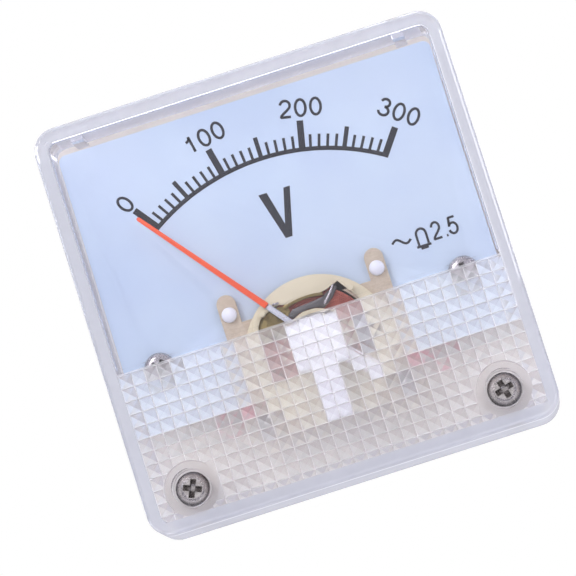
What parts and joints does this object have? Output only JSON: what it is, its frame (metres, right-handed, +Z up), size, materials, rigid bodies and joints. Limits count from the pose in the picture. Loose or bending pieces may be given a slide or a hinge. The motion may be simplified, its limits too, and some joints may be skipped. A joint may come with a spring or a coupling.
{
  "type": "analog panel voltmeter",
  "caption": "Square clear-fronted dial voltmeter with a swinging pointer, a prismatic lower window, a moving-iron movement inside, and a round body with rear terminals.",
  "frame": {"origin": "on the round body's axis, at the plane where the case seats on the panel", "axes": "+X right and +Z up as the dial is read, +Y back through the panel"},
  "size_m": [0.064, 0.056, 0.064],
  "materials": {
    "clear": "polished clear styrene, ribbed with small prisms on its lower half",
    "cream": "moulded cream plastic",
    "ivory": "moulded ivory plastic",
    "white": "white nylon",
    "tan": "tan board",
    "dial": "pale satin enamel on sheet metal",
    "orange_metal": "orange paint on thin aluminium",
    "copper_wire": "enamelled copper wire, wound in layers",
    "brass": "turned brass",
    "bronze": "phosphor bronze strip",
    "nickel": "nickel-plated steel",
    "steel": "plain steel",
    "iron": "dark annealed soft iron",
    "aluminium": "thin bare aluminium",
    "magnet": "dark cast magnet alloy",
    "red": "red flexible insulation over stranded wire",
    "blue": "lacquered resistor body with wire ends"
  },
  "bodies": {
    "housing": {"board_screw_left": "nickel", "board_screw_right": "nickel", "bridge_screw": "nickel", "coil_bobbin": "ivory", "coil_winding": "copper_wire", "cover_screw_left": "nickel", "cover_screw_right": "nickel", "damping_magnet": "magnet", "dial_plate": "dial", "dial_screw_left": "nickel", "dial_screw_right": "nickel", "ear_post_left": "white", "ear_post_right": "white", "field_plate": "iron", "fixed_iron": "iron", "front_bridge": "white", "front_cover": "clear", "front_jewel": "brass", "lead_wire_left": "red", "lead_wire_right": "red", "magnet_yoke": "steel", "movement_board": "tan", "rear_bridge": "brass", "rear_cap": "cream", "rear_case": "cream", "rear_jewel_nut": "brass", "rear_jewel_screw": "brass", "series_resistor": "blue", "stud_lower_left": "nickel", "stud_lower_right": "nickel", "stud_nut_lower_left": "nickel", "stud_nut_lower_right": "nickel", "stud_nut_upper_left": "nickel", "stud_nut_upper_right": "nickel", "stud_upper_left": "nickel", "stud_upper_right": "nickel", "stud_washer_lower_left": "nickel", "stud_washer_lower_right": "nickel", "stud_washer_upper_left": "nickel", "stud_washer_upper_right": "nickel", "terminal_lug_left": "brass", "terminal_lug_right": "brass", "terminal_nut_left": "brass", "terminal_nut_right": "brass", "terminal_stud_left": "brass", "terminal_stud_right": "brass", "terminal_washer_left": "brass", "terminal_washer_right": "brass"},
    "moving_system": {"spindle": "steel", "pointer_hub": "aluminium", "pointer_arm": "aluminium", "pointer": "orange_metal", "moving_iron": "iron", "damping_vane": "aluminium", "balance_weight_tail": "brass", "balance_weight_left": "brass", "balance_weight_right": "brass"},
    "zero_adjuster": {"zero_lever": "white", "hairspring": "bronze"}
  },
  "joints": [
    {"name": "pointer_swing", "type": "hinge", "parent": "housing", "child": "moving_system", "pos_m": [0, 0, -0.0104], "axis": [0, 1, 0], "range_deg": [-2, 80], "stiffness_Nm_per_rad": 0.00005},
    {"name": "zero_adjust", "type": "hinge", "parent": "housing", "child": "zero_adjuster", "pos_m": [0, 0, -0.0104], "axis": [0, 1, 0], "range_deg": [-6, 6]}
  ]
}
